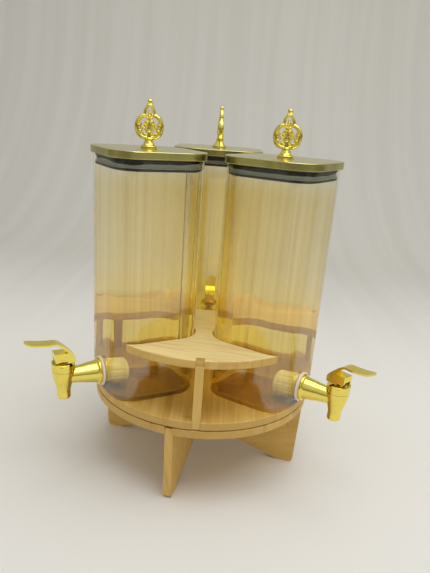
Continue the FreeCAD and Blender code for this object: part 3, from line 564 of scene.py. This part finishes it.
def bar(context, target, points, depth, mirrored=True):
    """Adds a smooth bar through (x, z, radius) points in millimetres, depth times as thick from front to
    back, and its mirror image on the other side."""
    curve = bpy.data.curves.new("bar", "CURVE")
    curve.dimensions = "3D"
    curve.bevel_depth = MM
    curve.bevel_resolution = 4
    curve.use_fill_caps = True
    spline = curve.splines.new("BEZIER")
    spline.resolution_u = 8
    spline.bezier_points.add(len(points) - 1)
    for point, (x, z, radius) in zip(spline.bezier_points, points):
        point.co = (x * MM, 0.0, z * MM)
        point.handle_left_type = point.handle_right_type = "AUTO"
        point.radius = radius
    holder = linked(context, "bar", curve)
    context.view_layer.update()
    mesh = bpy.data.meshes.new_from_object(holder.evaluated_get(context.evaluated_depsgraph_get()))
    bpy.data.objects.remove(holder)
    mesh.transform(Matrix.Diagonal((1.0, depth, 1.0, 1.0)))
    target.from_mesh(mesh)
    if mirrored:
        mesh.transform(Matrix.Diagonal((-1.0, 1.0, 1.0, 1.0)))
        target.from_mesh(mesh)


def bead(target, place, radii, lean=0.0):
    """Adds an egg of three radii in millimetres at (x, y, z), leaning by an angle in the XZ plane."""
    shape = (Matrix.Translation([part * MM for part in place]) @ Matrix.Rotation(math.radians(lean), 4, "Y")
             @ Matrix.Diagonal([radius * MM for radius in radii] + [1.0]))
    bmesh.ops.create_uvsphere(target, u_segments=24, v_segments=14, radius=1.0, matrix=shape)


def spun(target, profile):
    """Adds a turned shape through (radius, height) points in millimetres, closed on the axis."""
    line = [target.verts.new((radius * MM, 0.0, height * MM)) for radius, height in profile]
    edges = [target.edges.new(pair) for pair in zip(line, line[1:])]
    bmesh.ops.spin(target, geom=line + edges, cent=(0.0, 0.0, 0.0), axis=(0.0, 0.0, 1.0),
                   dvec=(0.0, 0.0, 0.0), angle=math.tau, steps=48, use_merge=True)
    bmesh.ops.remove_doubles(target, verts=target.verts[:], dist=MERGE)


def shell(target):
    """The knob's shell: an egg with ribs that fan out over both of its faces."""
    bead(target, (0.0, 0.0, 19.6), (5.2, 2.2, 6.2))
    for lean in SHELL_RIBS:
        reach = 6.9 - abs(lean) * 0.045
        angle = math.radians(lean)
        x, z = reach * math.sin(angle), SHELL_HEIGHT + reach * math.cos(angle)
        for face in (-1, 1):
            bead(target, (x, face * 1.8, z), (0.7, 0.9, reach * 0.9), lean)


def flower(target):
    """The knob's flower, where the ring meets the crown."""
    for turn in range(PETALS):
        angle = math.tau * turn / PETALS
        x, z = PETAL_REACH * math.sin(angle), FLOWER_HEIGHT + PETAL_REACH * math.cos(angle)
        bead(target, (x, 0.0, z), (1.3, 2.3, 1.3))
    bead(target, (0.0, 0.0, FLOWER_HEIGHT), (1.7, 2.9, 1.7))


def knob_model(context, material):
    """The openwork finial about its own axis, with its face towards -Y and its foot at Z = 0."""
    bm = bmesh.new()
    spun(bm, FOOT)
    for points, depth in ((RING, 1.5), (SCROLL, 1.9), (FOOT_SCROLL, 1.8), (CROWN, 1.5), (CROWN_BUD, 1.6)):
        bar(context, bm, points, depth)
    bar(context, bm, NECK, 1.2, mirrored=False)
    for x, z, size in BEADS:
        for mirror in (1, -1):
            bead(bm, (mirror * x, 0.0, z), (size, size * 1.5, size * 0.85), mirror * 40.0)
    shell(bm)
    flower(bm)
    bead(bm, (0.0, 0.0, 36.9), (2.4, 2.4, 1.5))
    bead(bm, (0.0, 0.0, 39.9), (2.3, 2.3, 2.4))
    knob = as_object(context, "knob_model", bm, material)
    modified(context, knob, "REMESH", mode="VOXEL", voxel_size=0.28 * MM, use_smooth_shade=True)
    modified(context, knob, "SMOOTH", factor=0.5, iterations=2)
    crisp(knob.data, 80.0)
    return knob


# ---------------------------------------------------------------------------------------- properties


def colour_property(name, description, default):
    return FloatVectorProperty(
        name=name, description=description, default=default, size=4, min=0.0, max=1.0, subtype="COLOR",
    )


def size_property(name, description, default):
    return FloatProperty(name=name, description=description, default=default, min=0.0, unit="LENGTH",
                         subtype="DISTANCE")


def share_property(name, description, default):
    return FloatProperty(name=name, description=description, default=default, min=0.0, max=1.0,
                         subtype="FACTOR")


def index_property(name, description, default):
    return FloatProperty(name=name, description=description, default=default, min=1.0, max=3.0)


class BambooSettings(bpy.types.PropertyGroup):
    strip: size_property("Strip width", "Width of one laminated bamboo strip", 6.5 * MM)
    shadow: colour_property("Dark grain", "Darkest colour of the grain", paint(166, 120, 50))
    middle: colour_property("Grain", "Middle colour of the grain", paint(212, 172, 88))
    light: colour_property("Light grain", "Lightest colour of the grain", paint(234, 202, 124))
    cut: colour_property("End grain", "Colour of a cut end", paint(168, 128, 60))
    # The share by which the shelf's top is painted lighter: painted light.
    shelf_painted_light: share_property("Pale shelf", "How far the shelf's top has been sanded lighter", 0.6)

    def colours(self):
        return [tuple(c) for c in (self.shadow, self.middle, self.light, self.cut)]


class GlassSettings(bpy.types.PropertyGroup):
    tint: colour_property("Tint", "Colour of light through one wall", (1.0, 0.95, 0.76, 1.0))
    low_tint: colour_property("Low tint", "The same near the jar's foot", (1.0, 0.85, 0.17, 1.0))
    low_top: size_property("Low tint top", "Height above which the low tint has faded out", 0.235)
    low_bottom: size_property("Low tint bottom", "Height below which the low tint is full", 0.140)
    # Painted shade between the jars: the deeper tint below, full within the second radius of the turntable's
    # axis and gone beyond the first.
    gap_shade_tint: colour_property("Thick tint", "The same where the coating is thick", (0.94, 0.77, 0.27, 1.0))
    shade_fade_radius: size_property("Thin radius", "Distance from the middle where the coating is thin", 0.100)
    shade_full_radius: size_property("Thick radius", "Distance from the middle where it is thick", 0.056)
    streak: colour_property("Streaks", "Colour of light through a thicker streak", (0.82, 0.68, 0.30, 1.0))
    streaking: share_property("Streaking", "How strong the streaks of thicker coating are", 0.8)
    rim_bottom: size_property("Rim bottom", "Height below which tint and lustre are full", 0.286)
    rim_top: size_property("Rim top", "Height above which they have faded out", 0.322)
    shadow_tint: colour_property("Shadow tint", "Lamp light's colour through a face", (0.96, 0.90, 0.74, 1.0))
    sheen: colour_property("Sheen", "Colour of the pearly shine", (0.86, 0.84, 1.0, 1.0))
    index: index_property("Index", "Index of refraction of the thin wall", 1.05)
    coat_index: index_property("Coat index", "Index of the pearly coat", 2.4)
    lustre: share_property("Lustre", "Strength of the pearly coat", 0.6)


class MetalSettings(bpy.types.PropertyGroup):
    gold: colour_property("Gold", "Colour of the taps and knobs", (0.96, 0.80, 0.17, 1.0))
    lid: colour_property("Lids", "Colour of the brushed lids", (0.66, 0.61, 0.20, 1.0))
    seal: colour_property("Seal", "Colour of the seal's lips", paint(3, 5, 8))
    band: colour_property("Seal band", "Colour of the stretched band between the lips", paint(168, 180, 172))
    polish: share_property("Polish", "Roughness of the taps and knobs", 0.09)


class StageSettings(bpy.types.PropertyGroup):
    floor: colour_property("Floor", "Colour of the floor", paint(229, 227, 221))
    # The wall colour is darker than the floor's: painted shade on the upright part of the cloth.
    wall: colour_property("Wall", "Colour of the wall", paint(204, 202, 194))
    lamp: FloatProperty(name="Lamp", description="Power of the lamp overhead", default=27.0, min=0.0,
                        unit="POWER")


class DispenserSettings(bpy.types.PropertyGroup):
    bamboo: PointerProperty(type=BambooSettings)
    glass: PointerProperty(type=GlassSettings)
    metal: PointerProperty(type=MetalSettings)
    stage: PointerProperty(type=StageSettings)


# ----------------------------------------------------------------------------------------- operators


class DISPENSER_OT_stand(bpy.types.Operator):
    """Finishes the boards, legs, posts and shelf in bamboo, each with its own grain direction"""

    bl_idname = "dispenser.stand"
    bl_label = "Stand"

    def execute(self, context):
        settings = context.scene.dispenser.bamboo
        colours = settings.colours()
        strip = settings.strip
        # The shelf's top is painted lighter: painted light.
        pale = settings.shelf_painted_light
        dress("upper_disc", bamboo("bamboo_turntable", colours, (0, 0, TURNTABLE_GRAIN), strip))
        dress("lower_disc", bamboo("bamboo_base", colours, (0, 0, BASE_GRAIN), strip))
        dress("jar_shelf", bamboo("bamboo_shelf", colours, (0, 0, SHELF_GRAIN), strip, pale))
        for name, azimuth in LEG_AZIMUTHS.items():
            dress(name, bamboo("bamboo_" + name, colours, (90, 0, -azimuth), strip * 3))
        for name in ("slat_front", "slat_right", "slat_left"):
            dress(name, bamboo("bamboo_" + name, colours, (0, 90, 0), strip))
        return {"FINISHED"}


class DISPENSER_OT_bearing(bpy.types.Operator):
    """Finishes the ring bearing, the pivot and its bushing"""

    bl_idname = "dispenser.bearing"
    bl_label = "Bearing"

    def execute(self, context):
        steel = brushed_metal("bearing_steel", (0.56, 0.57, 0.58, 1.0), 0.0, 0.22)
        for name in ("pivot_pin", "bearing_lower_race", "bearing_balls", "bearing_upper_race"):
            dress(name, steel)
        dress("bearing_cage", moulded("cage_plastic", paint(70, 70, 72), 0.45))
        dress("pivot_bushing", moulded("bushing_plastic", paint(225, 222, 212), 0.4))
        return {"FINISHED"}


class DISPENSER_OT_jars(bpy.types.Operator):
    """Makes the three jars smooth, in amber glass with a pearly coat"""

    bl_idname = "dispenser.jars"
    bl_label = "Jars"

    def execute(self, context):
        glass = amber_glass("amber_glass", context.scene.dispenser.glass)
        model = jar_model(context, glass)
        for side, azimuth in JAR_AZIMUTHS.items():
            place = Matrix.Translation(jar_axis(side)) @ Matrix.Rotation(math.radians(azimuth), 4, "Z")
            copied(context, "jar_" + side + "_glass", model, place,
                   body="jar_" + side, node="glass_jar_" + side)
        bpy.data.objects.remove(model)
        return {"FINISHED"}


class DISPENSER_OT_lids(bpy.types.Operator):
    """Finishes the lids, their plugs, seals and screws"""

    bl_idname = "dispenser.lids"
    bl_label = "Lids"

    def execute(self, context):
        metal = context.scene.dispenser.metal
        lid_colour = tuple(metal.lid)
        low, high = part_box("lid_seal_back")
        rubber = sealing_rubber("seal_rubber", low.z, high.z, metal)
        plastic = moulded("plug_plastic", paint(70, 84, 92), 0.30)
        steel = brushed_metal("screw_steel", (0.56, 0.57, 0.58, 1.0), 0.0, 0.25)
        for side, azimuth in JAR_AZIMUTHS.items():
            dress("lid_plate_" + side, brushed_metal("lid_metal_" + side, lid_colour, azimuth + 90.0, 0.17))
            dress("lid_plug_" + side, plastic)
            dress("lid_seal_" + side, rubber)
            dress("knob_screw_" + side, steel)
        return {"FINISHED"}


class DISPENSER_OT_knobs(bpy.types.Operator):
    """Makes the cast openwork knobs"""

    bl_idname = "dispenser.knobs"
    bl_label = "Knobs"

    def execute(self, context):
        metal = context.scene.dispenser.metal
        # 0.75 is how much painted shade goes into the dips of the casting.
        gold = polished_gold("knob_gold", tuple(metal.gold), metal.polish, 420.0, 0.75)
        model = knob_model(context, gold)
        for side, azimuth in KNOB_AZIMUTHS.items():
            foot = jar_axis(side)
            foot.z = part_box("lid_plate_" + side)[1].z
            place = Matrix.Translation(foot) @ Matrix.Rotation(math.radians(azimuth + 90.0), 4, "Z")
            copied(context, "knob_" + side, model, place,
                   body="lid_" + side, node="lid_knob_" + side)
        bpy.data.objects.remove(model)
        return {"FINISHED"}


class DISPENSER_OT_taps(bpy.types.Operator):
    """Finishes the taps, their levers, washers and nuts"""

    bl_idname = "dispenser.taps"
    bl_label = "Taps"

    def execute(self, context):
        metal = context.scene.dispenser.metal
        gold = polished_gold("tap_gold", tuple(metal.gold), metal.polish, 90.0)
        silicone = moulded("washer_silicone", paint(255, 246, 238), 0.35)
        nut = moulded("nut_plastic", paint(252, 248, 244), 0.4, 0.05)
        for side in SIDES:
            for name in ("tap_body_", "tap_bonnet_", "tap_lever_"):
                dress(name + side, gold)
            dress("tap_washers_" + side, silicone)
            dress("tap_nut_" + side, nut)
        return {"FINISHED"}


class DISPENSER_OT_valves(bpy.types.Operator):
    """Finishes the valve stems, seats, springs and lever pins"""

    bl_idname = "dispenser.valves"
    bl_label = "Valves"

    def execute(self, context):
        brass = brushed_metal("valve_brass", (0.72, 0.52, 0.22, 1.0), 0.0, 0.2)
        rubber = moulded("valve_rubber", paint(44, 44, 44), 0.5)
        steel = brushed_metal("spring_steel", (0.60, 0.60, 0.61, 1.0), 0.0, 0.2)
        metal = context.scene.dispenser.metal
        gold = polished_gold("pin_gold", tuple(metal.gold), 0.14, 90.0)
        for side in SIDES:
            dress("valve_stem_" + side, brass)
            dress("valve_seat_" + side, rubber)
            self.spring(context, side, steel)
            dress("lever_pin_" + side, gold)
        return {"FINISHED"}

    def spring(self, context, side, material):
        """The spring again, its vertices merged, carried by the valve in place of the frame's node."""
        node = "valve_spring_" + side
        bm = bmesh.new()
        bm.from_mesh(frame["nodes"][node].data)
        bmesh.ops.remove_doubles(bm, verts=bm.verts[:], dist=MERGE)
        spring = as_object(context, "spring_" + side, bm, material)
        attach(spring, "valve_" + side)
        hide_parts(node)
        low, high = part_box(node)
        joint = next(row for row in frame["joints"] if row["name"] == "valve_slide_" + side)
        keep = 1.0 - joint["range_m"][1] / (high.z - low.z)
        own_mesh(spring)


class DISPENSER_OT_stage(bpy.types.Operator):
    """Sets the floor and backdrop, the lamp, the world and the camera"""

    bl_idname = "dispenser.stage"
    bl_label = "Stage"

    def execute(self, context):
        settings = context.scene.dispenser.stage
        self.sweep(context, settings)
        self.lamp(context, settings)
        self.world(context, settings)
        self.camera(context)
        context.scene.view_settings.view_transform = "Standard"
        return {"FINISHED"}

    def sweep(self, context, settings):
        """One sheet: flat under the object, curving up into a wall far behind it."""
        bm = bmesh.new()
        points = [(SWEEP_START, 0.0), (SWEEP_BEND, 0.0)]
        for step in range(1, SWEEP_STEPS + 1):
            angle = math.pi / 2 * step / SWEEP_STEPS
            points.append((SWEEP_BEND + SWEEP_RADIUS * math.sin(angle), SWEEP_RADIUS * (1 - math.cos(angle))))
        points.append((SWEEP_BEND + SWEEP_RADIUS, SWEEP_TOP))
        line = [bm.verts.new((-SWEEP_HALF, y, z)) for y, z in points]
        edges = [bm.edges.new(pair) for pair in zip(line, line[1:])]
        made = bmesh.ops.extrude_edge_only(bm, edges=edges)
        moved = [part for part in made["geom"] if isinstance(part, bmesh.types.BMVert)]
        bmesh.ops.translate(bm, verts=moved, vec=(2 * SWEEP_HALF, 0, 0))
        bmesh.ops.recalc_face_normals(bm, faces=bm.faces)
        mesh = bpy.data.meshes.new("sweep")
        bm.to_mesh(mesh)
        bm.free()
        mesh.polygons.foreach_set("use_smooth", [True] * len(mesh.polygons))
        mesh.materials.append(self.cloth(settings))
        sheet = linked(context, "sweep", mesh)

    def cloth(self, settings):
        """A pale floor and wall of one cloth. The wall is painted darker than the floor and has faint fold
        lines
        painted as darker stripes: painted shade.
        """
        finish = Finish.named("sweep_cloth")
        place = finish.position()
        depth = finish.axes(place)[1]
        fold = finish.noise(finish.stretched(place, (22.0, 0.6, 0.6)), 1.0, 2.0, 0.5)
        # Painted shade: the upright wall takes a darker colour than the floor.
        colour = finish.mix(depth.step(0.1, 0.95), tuple(settings.floor), tuple(settings.wall))
        # Painted shade: fold lines as darker stripes on the flat wall.
        fold_shade = fold.step(0.35, 0.65) * depth.step(0.0, 0.9) * 0.10
        colour = finish.mix(fold_shade, colour, paint(150, 145, 135))
        return finish.done(finish.surface(Base_Color=colour, Roughness=0.85))

    def lamp(self, context, settings):
        data = bpy.data.lights.new("lamp_overhead", "AREA")
        data.size = LAMP_SIZE
        data.energy = settings.lamp
        lamp = linked(context, "lamp_overhead", data)
        lamp.location = LAMP_PLACE
        lamp.rotation_euler = (Vector(LAMP_AIM) - Vector(LAMP_PLACE)).to_track_quat("-Z", "Y").to_euler()

    def world(self, context, settings):
        """An even wall for the camera and even light for matt surfaces. Shiny ones see a smooth gradient,
        bright overhead and dim at the horizon and towards -X."""
        world = bpy.data.worlds.new("studio")
        context.scene.world = world
        sky = Finish(world)
        aside, _, high = sky.axes(sky.node("TexCoord", output="Generated"))
        room = sky.mix(high.step(-0.1, 0.7), (0.16, 0.155, 0.145, 1.0), (0.80, 0.80, 0.79, 1.0))
        room = sky.mix(aside.step(0.5, -0.9) * 0.4, room, (0.22, 0.20, 0.18, 1.0))
        camera_ray = sky.node("LightPath", output="Is Camera Ray")
        lit = sky.mix(camera_ray.also("Is Glossy Ray"), (0.56, 0.555, 0.54, 1.0), room)
        seen = sky.mix(camera_ray, lit, tuple(settings.wall))
        sky.done(sky.node("Background", None, {"Color": seen, "Strength": 1.0}), "World")

    def camera(self, context):
        data = bpy.data.cameras.new("camera")
        data.lens = LENS
        data.shift_x, data.shift_y = SHIFT
        data.clip_start = 0.01
        data.clip_end = 50.0
        eye = linked(context, "camera", data)
        turn = Matrix.Rotation(math.radians(EYE_TURN), 4, "Z")
        tilt = Matrix.Rotation(math.radians(90.0 - EYE_DIP), 4, "X")
        roll = Matrix.Rotation(math.radians(EYE_ROLL), 4, "Z")
        eye.matrix_world = Matrix.Translation(EYE) @ turn @ tilt @ roll
        context.scene.camera = eye


class DISPENSER_PT_panel(bpy.types.Panel):
    """Lists the dispenser's settings and its operators"""

    bl_idname = "DISPENSER_PT_panel"
    bl_label = "Cocktail dispenser"
    bl_space_type = "VIEW_3D"
    bl_region_type = "UI"
    bl_category = "Dispenser"

    def draw(self, context):
        settings = context.scene.dispenser
        for group in (settings.bamboo, settings.glass, settings.metal, settings.stage):
            box = self.layout.box()
            for name in group.__annotations__:
                box.prop(group, name)
        for operator in OPERATORS:
            self.layout.operator(operator.bl_idname)


SETTINGS = (BambooSettings, GlassSettings, MetalSettings, StageSettings, DispenserSettings)
# In the order in which they run.
OPERATORS = (
    DISPENSER_OT_stage, DISPENSER_OT_stand, DISPENSER_OT_bearing, DISPENSER_OT_jars, DISPENSER_OT_lids,
    DISPENSER_OT_knobs, DISPENSER_OT_taps, DISPENSER_OT_valves,
)
CLASSES = SETTINGS + OPERATORS + (DISPENSER_PT_panel,)


def register():
    for item in CLASSES:
        bpy.utils.register_class(item)
    bpy.types.Scene.dispenser = PointerProperty(type=DispenserSettings)


def unregister():
    del bpy.types.Scene.dispenser
    for item in reversed(CLASSES):
        bpy.utils.unregister_class(item)


def main():
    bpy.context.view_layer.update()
    register()
    for operator in OPERATORS:
        getattr(bpy.ops.dispenser, operator.bl_idname.split(".")[1])()


if __name__ == "__main__":
    main()
